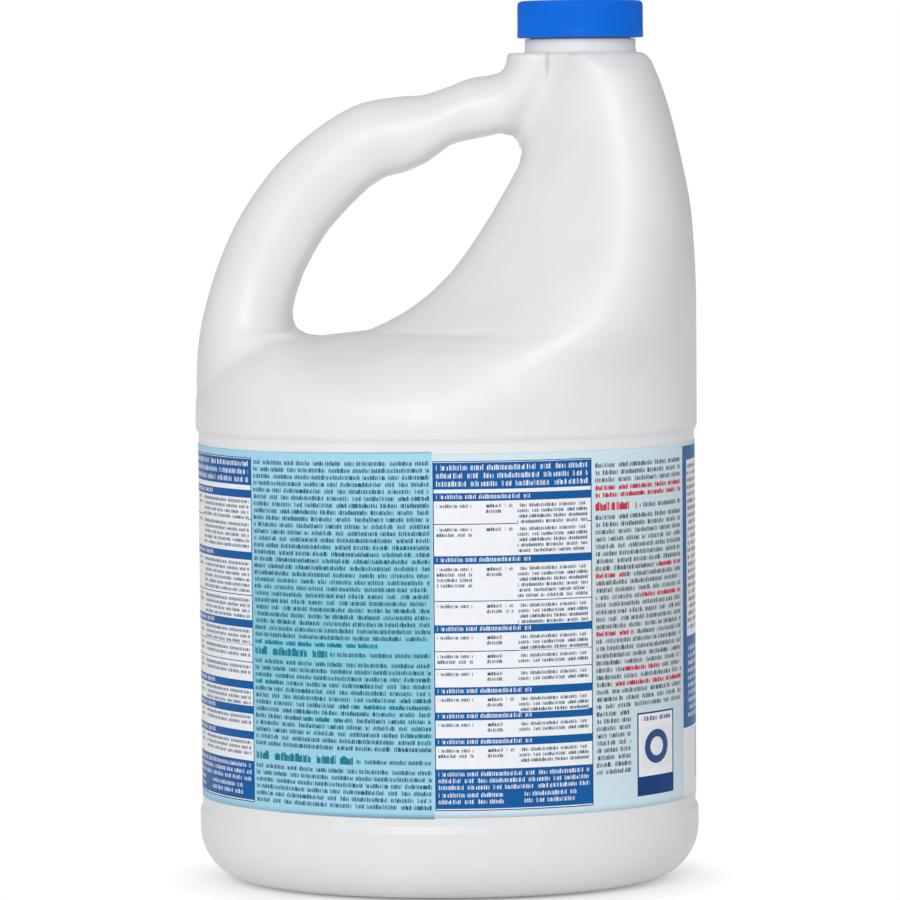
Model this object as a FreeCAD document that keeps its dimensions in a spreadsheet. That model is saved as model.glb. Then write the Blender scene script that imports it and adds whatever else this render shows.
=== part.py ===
import FreeCAD, Part
import math
import os

from FreeCAD import Placement, Rotation, Vector
from Sketcher import Constraint

# Blow-moulded household jug with a hollow loop handle, a ribbed screw cap, its seal and a wrap label.
# Millimetres, +Z up. The origin is on the standing plane, in the middle of the oval body.
# +X points to the pouring side, where the neck is. -X is the handle side. Y = 0 is the parting plane.

doc = FreeCAD.newDocument("bleach_bottle")
sheet = doc.addObject("Spreadsheet::Sheet", "Sizes")

SIZES = [
    # Oval body
    ("body_length", 176.0),
    ("body_depth", 127.0),
    ("wall", 0.9),
    ("heel_radius", 19.0),
    ("foot_inset", 24.0),
    ("pushup_height", 5.0),
    ("pushup_slope", 7.0),
    # Recessed panel for the label
    ("panel_bottom", 25.5),
    ("panel_top", 159.7),
    ("panel_recess", 1.0),
    ("crease_height", 1.2),
    # Neck and shoulder
    ("neck_offset", 48.0),
    ("neck_base", 290.0),
    ("neck_radius", 19.3),
    ("neck_ring_height", 4.8),
    ("collar_radius", 22.4),
    ("collar_foot_radius", 25.1),
    ("collar_height", 3.4),
    ("collar_root", 3.0),
    ("finish_radius", 17.5),
    ("finish_height", 10.8),
    ("bore_radius", 15.2),
    # Loop handle
    ("handle_width", 28.0),
    ("web_thick", 2.4),
    # Cap and its seal
    ("cap_radius", 21.95),
    ("cap_gap", 0.4),
    ("cap_wall", 1.7),
    ("cap_top", 1.4),
    ("cap_edge_round", 1.5),
    ("cap_band", 2.2),
    ("rib_count", 120.0),
    ("rib_depth", 0.35),
    ("rib_land", 0.3),
    ("seal_thick", 1.0),
    ("seal_clearance", 0.3),
    # Label
    ("label_bottom", 30.5),
    ("label_top", 154.8),
    ("label_thick", 0.2),
    ("label_gap", 0.05),
]

for row, (alias, value) in enumerate(SIZES, start=1):
    sheet.set("A%d" % row, alias)
    sheet.set("B%d" % row, str(value))
    sheet.setAlias("B%d" % row, alias)
doc.recompute()


def size(alias):
    return float(sheet.get(alias))


half_length = size("body_length") / 2
body_depth = size("body_depth")
half_depth = body_depth / 2
wall = size("wall")
recess = size("panel_recess")
crease = size("crease_height")
panel_bottom = size("panel_bottom")
panel_top = size("panel_top")
neck_x = size("neck_offset")
neck_base = size("neck_base")

# Shoulder rails: the back (handle side) and front (pouring side) end of each oval section, as shares
# of the way from the body's end to the neck and from the panel to the neck, then the section's depth
# as a share between the neck's collar and the body, and how much slimmer its handle side is.
SHOULDER = [
    # back x, back z, front x, front z, depth, slimness
    (0.000, 0.000, 1.000, 0.000, 1.000, 0.00),
    (0.000, 0.025, 1.000, 0.025, 1.000, 0.00),
    (0.007, 0.102, 1.000, 0.086, 0.995, 0.01),
    (0.051, 0.182, 1.000, 0.141, 0.970, 0.04),
    (0.154, 0.232, 1.000, 0.186, 0.935, 0.10),
    (0.294, 0.254, 1.000, 0.237, 0.885, 0.18),
    (0.434, 0.268, 1.000, 0.294, 0.820, 0.27),
    (0.559, 0.328, 0.995, 0.370, 0.730, 0.34),
    (0.662, 0.428, 0.958, 0.470, 0.610, 0.40),
    (0.754, 0.562, 0.870, 0.593, 0.450, 0.40),
    (0.827, 0.708, 0.650, 0.723, 0.285, 0.34),
    (0.875, 0.831, 0.410, 0.839, 0.150, 0.22),
    (0.901, 0.915, 0.180, 0.922, 0.060, 0.10),
    (0.908, 0.973, 0.000, 0.973, 0.000, 0.00),
]
SECTION_POINTS = 24
HEEL_STEPS = 6

# Handle rails: the outer and inner side of the loop in the same shares, then its width as a share
# of the grip's. It flares into the body at its foot, and turns up into a pillar under the neck.
HANDLE = [
    # outer x, outer z, inner x, inner z, width
    (0.010, 0.008, 0.400, 0.008, 2.40),
    (0.004, 0.117, 0.320, 0.137, 2.05),
    (0.009, 0.220, 0.257, 0.237, 1.60),
    (0.026, 0.317, 0.256, 0.280, 1.30),
    (0.065, 0.446, 0.272, 0.359, 1.12),
    (0.124, 0.575, 0.319, 0.466, 1.04),
    (0.215, 0.705, 0.364, 0.537, 1.00),
    (0.319, 0.801, 0.449, 0.624, 1.00),
    (0.424, 0.865, 0.504, 0.662, 1.00),
    (0.522, 0.885, 0.552, 0.675, 0.98),
    (0.596, 0.891, 0.614, 0.703, 0.94),
    (0.658, 0.911, 0.684, 0.750, 0.90),
    (0.717, 0.934, 0.739, 0.762, 0.90),
    (0.765, 0.941, 0.810, 0.784, 0.94),
    (0.795, 0.951, 0.880, 0.857, 1.02),
    (0.808, 0.969, 0.930, 0.934, 1.10),
    (0.810, 0.993, 0.960, 0.993, 1.14),
]

# Thin web that fills the corner between the handle's elbow and the shoulder, in the same shares.
WEB_CORNERS = [(0.832, 0.712), (0.941, 0.785), (0.926, 0.946), (0.824, 0.847), (0.791, 0.775)]
WEB_THROAT = (0.835, 0.757)

# Side views of the two regions that are kept as solids of their own, in the same shares: the loop from its
# root to the web, and all that stands higher than the loop's root.
LOOP_ROOT = 0.309
LOOP_REGION = [(-0.09, LOOP_ROOT), (0.39, LOOP_ROOT), (0.647, 0.578), (0.788, 0.700), (0.788, 1.04), (-0.09, 1.04)]
UPPER_REGION = [(-0.09, LOOP_ROOT), (1.40, LOOP_ROOT), (1.40, 1.20), (-0.09, 1.20)]


def angle_facing(facing, length, depth, slim):
    # Where on a section its side faces a given way, found by halving
    low = 0.0
    high = math.pi
    for _ in range(30):
        middle = (low + high) / 2
        across = depth * (math.cos(middle) + slim * math.cos(2 * middle))
        if math.atan2(length * math.sin(middle), across) < facing:
            low = middle
        else:
            high = middle
    return (low + high) / 2


def oval_wire(back, front, depth, slim=0.0, unseen=False):
    # Smooth closed section between two points of the parting plane, egg-shaped where slim is not zero.
    # Points with equal numbers face the same way in every section, so the strips between are hardly twisted.
    # Inside the bottle, where nobody looks, flat facets do.
    centre = (back + front) * 0.5
    along = (front - back) * 0.5
    samples = [math.pi * step / 180 for step in range(181)]
    widest = max(math.sin(angle) * (1 + slim * math.cos(angle)) for angle in samples)
    side = []
    for step in range(SECTION_POINTS // 2 + 1):
        facing = 2 * math.pi * step / SECTION_POINTS
        angle = angle_facing(facing, along.Length, depth / widest, slim)
        across = depth * math.sin(angle) * (1 + slim * math.cos(angle)) / widest
        side.append((centre + along * math.cos(angle), Vector(0, across, 0)))
    points = [middle + across for middle, across in side]
    points += [middle - across for middle, across in side[-2:0:-1]]
    if unseen:
        return Part.makePolygon(points + points[:1])
    curve = Part.BSplineCurve()
    knots = [float(step) for step in range(SECTION_POINTS + 1)]
    curve.interpolate(Points=points, PeriodicFlag=True, Parameters=knots)
    return Part.Wire([curve.toShape()])


def level_oval(inset, height):
    back = Vector(-half_length + inset, 0, height)
    front = Vector(half_length - inset, 0, height)
    return oval_wire(back, front, half_depth - inset)


def oval_stack(levels):
    # Straight-sided solid through level ovals, given as inset and height
    return Part.makeLoft([level_oval(inset, height) for inset, height in levels], True, True)


def heel(inset, bottom, top):
    # Bottom of the body: its ovals follow a large round from the foot up to the straight side
    radius = size("heel_radius") - inset
    levels = []
    for step in range(HEEL_STEPS + 1):
        angle = math.pi / 2 * step / HEEL_STEPS
        levels.append((inset + radius * (1 - math.sin(angle)), bottom + radius * (1 - math.cos(angle))))
    return oval_stack(levels + [(inset, top)])


def pushup(inset, bottom):
    # Shallow hollow under the base, which leaves a ring to stand on
    edge = size("foot_inset") + inset
    levels = [(edge, bottom), (edge + size("pushup_slope"), bottom + size("pushup_height"))]
    return oval_stack(levels)


def rail_point(share_x, share_z):
    x = -half_length + share_x * (neck_x + half_length)
    z = panel_top + share_z * (neck_base - panel_top)
    return Vector(x, 0, z)


def front_point(share_x, share_z):
    top_x = neck_x + size("collar_foot_radius")
    x = top_x + share_x * (half_length - top_x)
    z = panel_top + share_z * (neck_base - panel_top)
    return Vector(x, 0, z)


def moved_inwards(points, distance, side):
    # Rail points shifted square to their rail, side +1 to the right of its run and -1 to the left
    moved = []
    for index, point in enumerate(points):
        before = points[max(index - 1, 0)]
        after = points[min(index + 1, len(points) - 1)]
        run = (after - before).normalize()
        moved.append(point + Vector(run.z, 0, -run.x) * distance * side)
    return moved


def shoulder(inset):
    backs = moved_inwards([rail_point(row[0], row[1]) for row in SHOULDER], inset, 1)
    fronts = moved_inwards([front_point(row[2], row[3]) for row in SHOULDER], inset, -1)
    top_depth = size("collar_foot_radius")
    wires = []
    for back, front, row in zip(backs, fronts, SHOULDER):
        depth = top_depth + row[4] * (half_depth - top_depth) - inset
        wires.append(oval_wire(back, front, depth, row[5], inset > 0))
    return Part.makeLoft(wires, True, True)


def handle(inset):
    wires = []
    for row in HANDLE:
        outer = rail_point(row[0], row[1])
        inner = rail_point(row[2], row[3])
        if row is HANDLE[-1]:
            outer.z -= inset
            inner.z -= inset
        across = (inner - outer).normalize()
        width = row[4] * size("handle_width") / 2 - inset
        wires.append(oval_wire(outer + across * inset, inner - across * inset, width, 0.0, inset > 0))
    return Part.makeLoft(wires, True, True)


def web():
    corners = [rail_point(*corner) for corner in WEB_CORNERS]
    lines = [Part.makeLine(a, b) for a, b in zip(corners, corners[1:])]
    throat = Part.Arc(corners[-1], rail_point(*WEB_THROAT), corners[0]).toShape()
    face = Part.Face(Part.Wire(lines + [throat]))
    face.translate(Vector(0, -size("web_thick") / 2, 0))
    return face.extrude(Vector(0, size("web_thick"), 0))


def region(side_view):
    corners = [rail_point(*corner) - Vector(0, body_depth, 0) for corner in side_view]
    return Part.Face(Part.makePolygon(corners + corners[:1])).extrude(Vector(0, 2 * body_depth, 0))


def stock(name, shape):
    # A solid that later features of the document join or cut
    feature = doc.addObject("Part::Feature", name)
    feature.Shape = shape
    return feature


def joined(kind, name, base, tool):
    feature = doc.addObject("Part::" + kind, name)
    feature.Base = base
    feature.Tool = tool
    feature.Refine = False
    return feature


def amount(terms):
    # Length of a sum such as "cap_radius - rib_depth"
    result = 0.0
    sign = 1
    for term in terms.split():
        if term in "+-":
            sign = 1 if term == "+" else -1
        else:
            result += sign * size(term)
    return result


def formula(terms):
    words = [term if term in "+-" else "Sizes." + term for term in terms.split()]
    return " ".join(words)


def origin_plane(body, role):
    return [feature for feature in body.Origin.OriginFeatures if feature.Role == role][0]


def turned_body(name, corners):
    # Body turned about the neck's axis from corners given as sums of sizes: radius, height
    body = doc.addObject("PartDesign::Body", name)
    profile = body.newObject("Sketcher::SketchObject", name + "_profile")
    profile.AttachmentSupport = (origin_plane(body, "XZ_Plane"), [""])
    profile.MapMode = "FlatFace"
    places = [Vector(amount(radius), amount(height), 0) for radius, height in corners]
    for index, place in enumerate(places):
        profile.addGeometry(Part.LineSegment(place, places[(index + 1) % len(places)]), False)
    for index in range(len(places)):
        profile.addConstraint(Constraint("Coincident", index, 2, (index + 1) % len(places), 1))
    for index, (radius, height) in enumerate(corners):
        if radius:
            place = profile.addConstraint(Constraint("DistanceX", -1, 1, index, 1, places[index].x))
            profile.setExpression("Constraints[%d]" % place, formula(radius))
        else:
            profile.addConstraint(Constraint("PointOnObject", index, 1, -2))
        place = profile.addConstraint(Constraint("DistanceY", -1, 1, index, 1, places[index].y))
        profile.setExpression("Constraints[%d]" % place, formula(height))
    turning = body.newObject("PartDesign::Revolution", name + "_turning")
    turning.Profile = profile
    turning.ReferenceAxis = (profile, ["V_Axis"])
    turning.Angle = 360.0
    body.setExpression("Placement.Base.x", "Sizes.neck_offset")
    profile.Visibility = False
    return body


# Neck: sloped collar, ring below the cap, and the finish that the cap screws on
RING_TOP = "neck_base + neck_ring_height"
LIP = RING_TOP + " + finish_height"
neck = turned_body("neck", [
    ("", "neck_base - collar_height - collar_root"),
    ("collar_foot_radius", "neck_base - collar_height - collar_root"),
    ("collar_foot_radius", "neck_base - collar_height"),
    ("collar_radius", "neck_base"),
    ("neck_radius", "neck_base"),
    ("neck_radius", RING_TOP),
    ("finish_radius", RING_TOP),
    ("finish_radius", LIP),
    ("", LIP),
])

# Outer skin of the bottle
skin_parts = [
    stock("heel_skin", heel(0, 0, panel_bottom).cut(pushup(0, 0))),
    stock("panel_skin", oval_stack([
        (0, panel_bottom),
        (recess, panel_bottom + crease),
        (recess, panel_top - crease),
        (0, panel_top),
    ])),
    stock("shoulder_skin", shoulder(0)),
    stock("handle_skin", handle(0)),
    stock("web_skin", web()),
]
skin = doc.addObject("Part::MultiFuse", "skin")
skin.Shapes = skin_parts
skin.Refine = False

# Hollow inside, one wall behind the skin
core_parts = [
    stock("lower_core", heel(recess + wall, wall, panel_top).cut(pushup(-wall, wall))),
    stock("shoulder_core", shoulder(wall)),
    stock("handle_core", handle(wall)),
]
bore = doc.addObject("Part::Cylinder", "bore")
bore.setExpression("Radius", "Sizes.bore_radius")
bore.setExpression("Height", "Sizes.neck_ring_height + Sizes.finish_height + 4 * Sizes.collar_height")
bore.setExpression("Placement.Base.x", "Sizes.neck_offset")
bore.setExpression("Placement.Base.z", "Sizes.neck_base - 3 * Sizes.collar_height")
core = doc.addObject("Part::MultiFuse", "core")
core.Shapes = core_parts + [bore]
core.Refine = False

hollow_body = joined("Cut", "hollow_body", skin, core)
hollow_neck = joined("Cut", "hollow_neck", neck, core)
shell = joined("Fuse", "shell", hollow_body, hollow_neck)

# All of it is one moulding. The loop and the shoulder are solids of their own so that each stays simple
# and its collision leaves the grip and the inside open.
loop_tool = stock("loop_region", region(LOOP_REGION))
upper_tool = stock("upper_region", region(UPPER_REGION))
loop_part = joined("Common", "loop_part", shell, loop_tool)
loop_part.Label = "handle"
body_part = joined("Cut", "body_part", shell, loop_tool)
upper_part = joined("Common", "upper_part", body_part, upper_tool)
upper_part.Label = "shoulder"
lower_part = joined("Cut", "lower_part", body_part, upper_tool)
lower_part.Label = "bottle"

# Cap: a cup with a rounded top edge, a smooth band along its rim and fine ribs above it
CAP_RIM = RING_TOP + " + cap_gap"
CAP_UNDERSIDE = LIP + " + seal_thick"
CAP_BORE = "cap_radius - rib_depth - cap_wall"
cap = turned_body("cap_body", [
    (CAP_BORE, CAP_RIM),
    ("cap_radius", CAP_RIM),
    ("cap_radius", CAP_UNDERSIDE + " + cap_top"),
    ("", CAP_UNDERSIDE + " + cap_top"),
    ("", CAP_UNDERSIDE),
    (CAP_BORE, CAP_UNDERSIDE),
])
cap.Label = "cap"
doc.recompute()
cup = cap.Tip
top_edges = []
for index, edge in enumerate(cup.Shape.Edges, start=1):
    box = edge.BoundBox
    if box.ZMin > amount(CAP_UNDERSIDE) + size("cap_top") / 2 and box.XLength > size("cap_radius"):
        top_edges.append("Edge%d" % index)
edge_round = cap.newObject("PartDesign::Fillet", "cap_edge_round")
edge_round.Base = (cup, top_edges)
edge_round.setExpression("Radius", "Sizes.cap_edge_round")
cap.Tip = edge_round

# One rib groove between the band and the top, repeated round the cap
groove = cap.newObject("Sketcher::SketchObject", "rib_groove")
groove.AttachmentSupport = (origin_plane(cap, "XY_Plane"), [""])
groove.MapMode = "FlatFace"
groove.AttachmentOffset = Placement(Vector(0, 0, amount(CAP_RIM) + size("cap_band")), Rotation())
rib_pitch = 2 * math.pi * size("cap_radius") / size("rib_count")
root = Vector(size("cap_radius") - size("rib_depth"), 0, 0)
mouth = Vector(size("cap_radius") + size("rib_depth"), 0, 0)
half_mouth = Vector(0, rib_pitch * 0.8, 0)
groove_corners = [root, mouth + half_mouth, mouth - half_mouth]
for index, corner in enumerate(groove_corners):
    groove.addGeometry(Part.LineSegment(corner, groove_corners[(index + 1) % 3]), False)
cutting = cap.newObject("PartDesign::Pocket", "rib_cutting")
cutting.Profile = groove
cutting.Reversed = True
cutting.setExpression("Length", formula(CAP_UNDERSIDE + " + cap_top - cap_edge_round - rib_land - cap_band - neck_base"
                                        " - neck_ring_height - cap_gap"))
ribs = cap.newObject("PartDesign::PolarPattern", "ribs")
ribs.Originals = [cutting]
ribs.Axis = (groove, ["N_Axis"])
ribs.Angle = 360.0
ribs.Occurrences = int(size("rib_count"))
cap.Tip = ribs

# Seal: the disc in the cap that the lip presses on
seal = doc.addObject("Part::Cylinder", "seal_disc")
seal.setExpression("Radius", formula(CAP_BORE + " - seal_clearance"))
seal.setExpression("Height", "Sizes.seal_thick")
seal.setExpression("Placement.Base.x", "Sizes.neck_offset")
seal.setExpression("Placement.Base.z", formula(LIP))
seal.Label = "cap_liner"

# Label: a thin band round the recessed panel
label_inner = recess - size("label_gap")
label_outer = label_inner - size("label_thick")
label = doc.addObject("Part::Cut", "label_band")
label.Base = stock("label_outside", oval_stack([(label_outer, size("label_bottom")), (label_outer, size("label_top"))]))
label.Tool = stock("label_inside", oval_stack([(label_inner, size("label_bottom")), (label_inner, size("label_top"))]))
label.Label = "label"

doc.recompute()
for feature in doc.Objects:
    if "Invalid" in feature.State or "Error" in feature.State:
        raise RuntimeError("%s failed: %s" % (feature.Name, feature.State))

os.makedirs("parts", exist_ok=True)
for node in (lower_part, upper_part, loop_part, cap, seal, label):
    if node.Shape.isNull() or not node.Shape.isValid() or len(node.Shape.Solids) != 1:
        raise RuntimeError("%s is not one valid solid" % node.Label)
    print("%-10s volume %.1f cm3, faces %d" % (node.Label, node.Shape.Volume / 1000, len(node.Shape.Faces)))
    node.Shape.exportStep("parts/%s.step" % node.Label)
print("inside %.3f litres" % (core.Shape.Volume / 1e6))
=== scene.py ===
import math

import bpy
import numpy as np
from mathutils import Matrix, Vector


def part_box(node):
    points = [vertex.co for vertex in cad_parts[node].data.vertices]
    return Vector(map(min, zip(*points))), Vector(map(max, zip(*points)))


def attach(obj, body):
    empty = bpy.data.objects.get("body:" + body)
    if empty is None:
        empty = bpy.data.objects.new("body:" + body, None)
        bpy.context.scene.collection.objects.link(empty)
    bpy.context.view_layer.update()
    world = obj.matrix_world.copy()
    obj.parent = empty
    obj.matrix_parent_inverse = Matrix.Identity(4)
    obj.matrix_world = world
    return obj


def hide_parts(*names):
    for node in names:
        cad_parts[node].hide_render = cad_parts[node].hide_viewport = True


# Looks of a white blow-moulded jug with a loop handle, a ribbed blue cap and a wrap label.
# Lengths in this script are millimetres and turn into metres where a mesh is made.

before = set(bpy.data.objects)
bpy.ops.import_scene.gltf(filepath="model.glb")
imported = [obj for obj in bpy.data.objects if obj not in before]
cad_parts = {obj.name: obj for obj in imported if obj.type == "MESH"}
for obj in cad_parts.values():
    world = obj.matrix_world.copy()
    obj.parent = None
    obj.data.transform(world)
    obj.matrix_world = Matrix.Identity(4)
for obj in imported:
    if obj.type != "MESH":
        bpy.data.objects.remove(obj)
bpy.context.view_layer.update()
MM = 0.001

# Driving sizes, read from the frame where it holds them
shoulder_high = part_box("shoulder")[1] / MM
cap_low, cap_high = (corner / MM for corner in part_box("cap"))
NECK_X = (cap_low.x + cap_high.x) / 2
NECK_HEIGHT = 15.6
LIP_Z = shoulder_high.z
NECK_BASE = LIP_Z - NECK_HEIGHT
CAP_RADIUS = (cap_high.x - cap_low.x) / 2

# Oval body with its label panel, heel and base
HALF_LENGTH = 88.0
HALF_DEPTH = 63.5
PANEL_BOTTOM = 25.5
PANEL_TOP = 159.7
PANEL_RECESS = 1.0
CREASE = 1.4
HEEL_RADIUS = 19.0
FOOT_INSET = 24.0
PUSHUP_SLOPE = 7.0
PUSHUP_HEIGHT = 5.0
BASE_MIDDLE_INSET = 60.0

# Collar, neck and its thread
COLLAR_FOOT_RADIUS = 25.1
COLLAR_HEIGHT = 3.4
COLLAR_RADIUS = 22.2
NECK_RADIUS = 19.3
NECK_LEDGE = 1.4
LEDGE_FOOT = 2.4
LEDGE_TOP = 0.4
NECK_ROOT = 8.0
NECK_RING_HEIGHT = 4.8
FINISH_RADIUS = 17.5
BORE_RADIUS = 15.2
THREAD_PITCH = 4.23
THREAD_DEPTH = 1.1
THREAD_HALF_WIDTH = 1.1
THREAD_START = 1.2
NECK_COLUMNS = 160

# Rails of the shoulder's oval sections, as shares of the way to the neck
SHOULDER = [
    # back x, back z, front x, front z, depth, slimness
    (0.000, 0.000, 1.000, 0.000, 1.000, 0.00),
    (0.000, 0.025, 1.000, 0.025, 1.000, 0.00),
    (0.007, 0.102, 1.000, 0.086, 0.995, 0.01),
    (0.051, 0.182, 1.000, 0.141, 0.970, 0.04),
    (0.154, 0.232, 1.000, 0.186, 0.935, 0.10),
    (0.294, 0.254, 1.000, 0.237, 0.885, 0.18),
    (0.434, 0.268, 1.000, 0.294, 0.820, 0.27),
    (0.559, 0.328, 0.995, 0.370, 0.730, 0.34),
    (0.662, 0.428, 0.958, 0.470, 0.610, 0.40),
    (0.754, 0.562, 0.870, 0.593, 0.450, 0.40),
    (0.827, 0.708, 0.650, 0.723, 0.285, 0.34),
    (0.875, 0.831, 0.410, 0.839, 0.150, 0.22),
    (0.901, 0.915, 0.180, 0.922, 0.060, 0.10),
    (0.908, 0.974, 0.000, 0.974, 0.000, 0.00),
    (0.908, 1.020, 0.000, 1.020, 0.000, 0.00),
]

# Rails of the loop handle, then its width as a share of the grip's
HANDLE_WIDTH = 28.0
HANDLE = [
    # outer x, outer z, inner x, inner z, width
    (0.010, 0.008, 0.400, 0.008, 2.40),
    (0.004, 0.117, 0.320, 0.138, 2.05),
    (0.009, 0.220, 0.257, 0.237, 1.60),
    (0.026, 0.317, 0.256, 0.280, 1.30),
    (0.065, 0.446, 0.272, 0.359, 1.12),
    (0.124, 0.575, 0.319, 0.466, 1.04),
    (0.215, 0.705, 0.364, 0.537, 1.00),
    (0.319, 0.801, 0.449, 0.624, 1.00),
    (0.424, 0.865, 0.504, 0.662, 1.00),
    (0.522, 0.885, 0.552, 0.675, 0.98),
    (0.596, 0.891, 0.614, 0.703, 0.94),
    (0.658, 0.911, 0.684, 0.750, 0.90),
    (0.717, 0.934, 0.739, 0.762, 0.90),
    (0.765, 0.941, 0.810, 0.784, 0.94),
    (0.795, 0.951, 0.880, 0.857, 1.02),
    (0.808, 0.969, 0.930, 0.934, 1.10),
    (0.812, 0.993, 0.960, 0.993, 1.14),
    (0.814, 1.020, 0.970, 1.020, 1.14),
]

# Outline and half thickness of the thin web in the grip's top corner
WEB = [(25.1, 250.9), (40.0, 260.1), (38.0, 281.0), (24.0, 268.5), (19.6, 262.0), (24.6, 259.0), (26.4, 255.0)]
WEB_HALF = 1.2

# The grip hole, and the soft ridge outside it up to which the faces by the hole slope
HOLE = [(-51.2, 205.1), (-48.7, 213.5), (-44.4, 221.1), (-39.0, 228.8), (-32.3, 236.5), (-25.6, 243.1),
        (-19.9, 246.5), (-13.3, 247.9), (-5.9, 251.3), (2.2, 257.5), (12.8, 259.9), (19.8, 261.2), (23.9, 259.4),
        (26.4, 255.6), (25.6, 251.5), (23.9, 248.6), (20.0, 242.4), (15.7, 235.4), (11.1, 228.4), (6.5, 221.5),
        (1.2, 214.5), (-2.4, 211.0), (-6.3, 207.5), (-10.9, 204.1), (-16.2, 200.6), (-22.5, 197.1),
        (-28.5, 194.9), (-34.8, 193.7), (-44.0, 192.7), (-48.5, 194.0), (-51.2, 197.5), (-52.0, 201.0)]
RIDGE = [(-110.0, 172.0), (-84.0, 175.0), (-62.0, 172.0), (-40.0, 171.0), (-10.0, 171.5), (22.0, 176.0), (40.0, 188.0),
         (51.0, 202.0), (57.0, 222.0), (58.5, 245.0), (55.0, 268.0), (48.0, 292.0), (-110.0, 300.0)]

# The upper body is meshed from its field in cells of this size, down to the lower body's rings
SEAM_Z = 164.0
CELL = 1.4
LATTICE = 0.5
LATTICE_MARGIN = 8.0
PROJECTIONS = 3

# Rounds where the forms of the upper body meet, and how a field's distance is held outside its outline
OUTSIDE_SHARE = 0.9
LOOP_ROUND = 9.0
WEB_ROUND = 2.4
HOLE_ROUND = 5.0
COLLAR_ROUND = 0.8
COLLAR_SPREAD = 0.02
NECK_ROUND = 1.2
LEAST_TURN = 0.02

# Faces by the grip hole: half width at the hole's edge, then at the ridge by height, and their run between
FACE_ROOT = 14.0
FACE_ROUND = 15.0
FACE_CURVE = 0.62
FACE_SCALE = 0.75
RIDGE_LEAST = 0.5
RIDGE_HEIGHTS = [170, 197, 220, 262, 290]
RIDGE_HALVES = [71, 66, 57, 43, 35]


def ease(share):
    # Soft run from 0 to 1
    return share * share * (3 - 2 * share)


def rail_point(share_x, share_z):
    x = -HALF_LENGTH + share_x * (NECK_X + HALF_LENGTH)
    return x, PANEL_TOP + share_z * (NECK_BASE - PANEL_TOP)


def front_point(share_x, share_z):
    top_x = NECK_X + COLLAR_FOOT_RADIUS
    return top_x + share_x * (HALF_LENGTH - top_x), PANEL_TOP + share_z * (NECK_BASE - PANEL_TOP)


def along_rows(rows, place):
    # Smooth run through a table's rows, at places counted in rows
    last = len(rows) - 1
    lower = np.clip(np.floor(place).astype(int), 0, last - 1)
    part = (place - lower)[:, None]
    before = rows[np.clip(lower - 1, 0, last)]
    start = rows[lower]
    end = rows[lower + 1]
    after = rows[np.clip(lower + 2, 0, last)]
    slope_start = (end - before) / 2
    slope_end = (after - start) / 2
    return (start * (2 * part**3 - 3 * part**2 + 1) + slope_start * (part**3 - 2 * part**2 + part)
            + end * (3 * part**2 - 2 * part**3) + slope_end * (part**3 - part**2))


def widest_share(slim):
    angles = np.linspace(0, math.pi, 181)
    return np.max(np.sin(angles) * (1 + slim * np.cos(angles)))


def section_table(backs, fronts, halves, slims):
    return np.array([(*back, *front, half, slim, widest_share(slim))
                     for back, front, half, slim in zip(backs, fronts, halves, slims)])


BODY_SECTIONS = section_table(
    [rail_point(row[0], row[1]) for row in SHOULDER],
    [front_point(row[2], row[3]) for row in SHOULDER],
    [COLLAR_FOOT_RADIUS + row[4] * (HALF_DEPTH - COLLAR_FOOT_RADIUS) for row in SHOULDER],
    [row[5] for row in SHOULDER])
HANDLE_SECTIONS = section_table(
    [rail_point(row[0], row[1]) for row in HANDLE],
    [rail_point(row[2], row[3]) for row in HANDLE],
    [row[4] * HANDLE_WIDTH / 2 for row in HANDLE],
    [0.0] * len(HANDLE))


def squared_width(sections, x, z):
    # Half the width squared at points of the parting plane, negative outside the outline.
    # The section through each point is found by halving the range of sections.
    low = np.zeros(len(x))
    high = np.full(len(x), len(sections) - 1.0)
    for _ in range(26):
        middle = (low + high) / 2
        row = along_rows(sections, middle)
        beyond = (row[:, 2] - row[:, 0]) * (z - row[:, 1]) - (row[:, 3] - row[:, 1]) * (x - row[:, 0])
        ahead = beyond > 0
        low = np.where(ahead, middle, low)
        high = np.where(ahead, high, middle)
    row = along_rows(sections, (low + high) / 2)
    run_x = (row[:, 2] - row[:, 0]) / 2
    run_z = (row[:, 3] - row[:, 1]) / 2
    off_x = x - row[:, 0] - run_x
    off_z = z - row[:, 1] - run_z
    run_squared = run_x**2 + run_z**2
    share = (off_x * run_x + off_z * run_z) / run_squared
    egg = (1 + row[:, 5] * np.clip(share, -1, 1)) / row[:, 6]
    return row[:, 4] ** 2 * (1 - share**2) * egg**2


def outline(sections):
    # Closed outline in the parting plane: along the first rail and back along the second
    rows = along_rows(sections, np.linspace(0, len(sections) - 1, 6 * len(sections)))
    return [(row[0], row[1]) for row in rows] + [(row[2], row[3]) for row in rows[::-1]]


def distance(squared, rim, slope_x, slope_z, y):
    # Signed distance, roughly, and its direction; rim is the distance to the outline in the parting plane
    steep = np.sqrt(slope_x**2 + slope_z**2 + 4 * y**2) + 1e-3
    away = (y**2 - squared) / steep
    away = np.where(rim > 0.05, np.clip(away, OUTSIDE_SHARE * rim, np.hypot(rim, y)), away)
    return away, (-slope_x / steep, 2 * y / steep, -slope_z / steep)


def smooth_union(first, second, radius):
    share = np.clip(0.5 + 0.5 * (second - first) / radius, 0, 1)
    return second + (first - second) * share - radius * share * (1 - share)


def smooth_cut(first, second, radius):
    return -smooth_union(-first, -second, radius)


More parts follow.
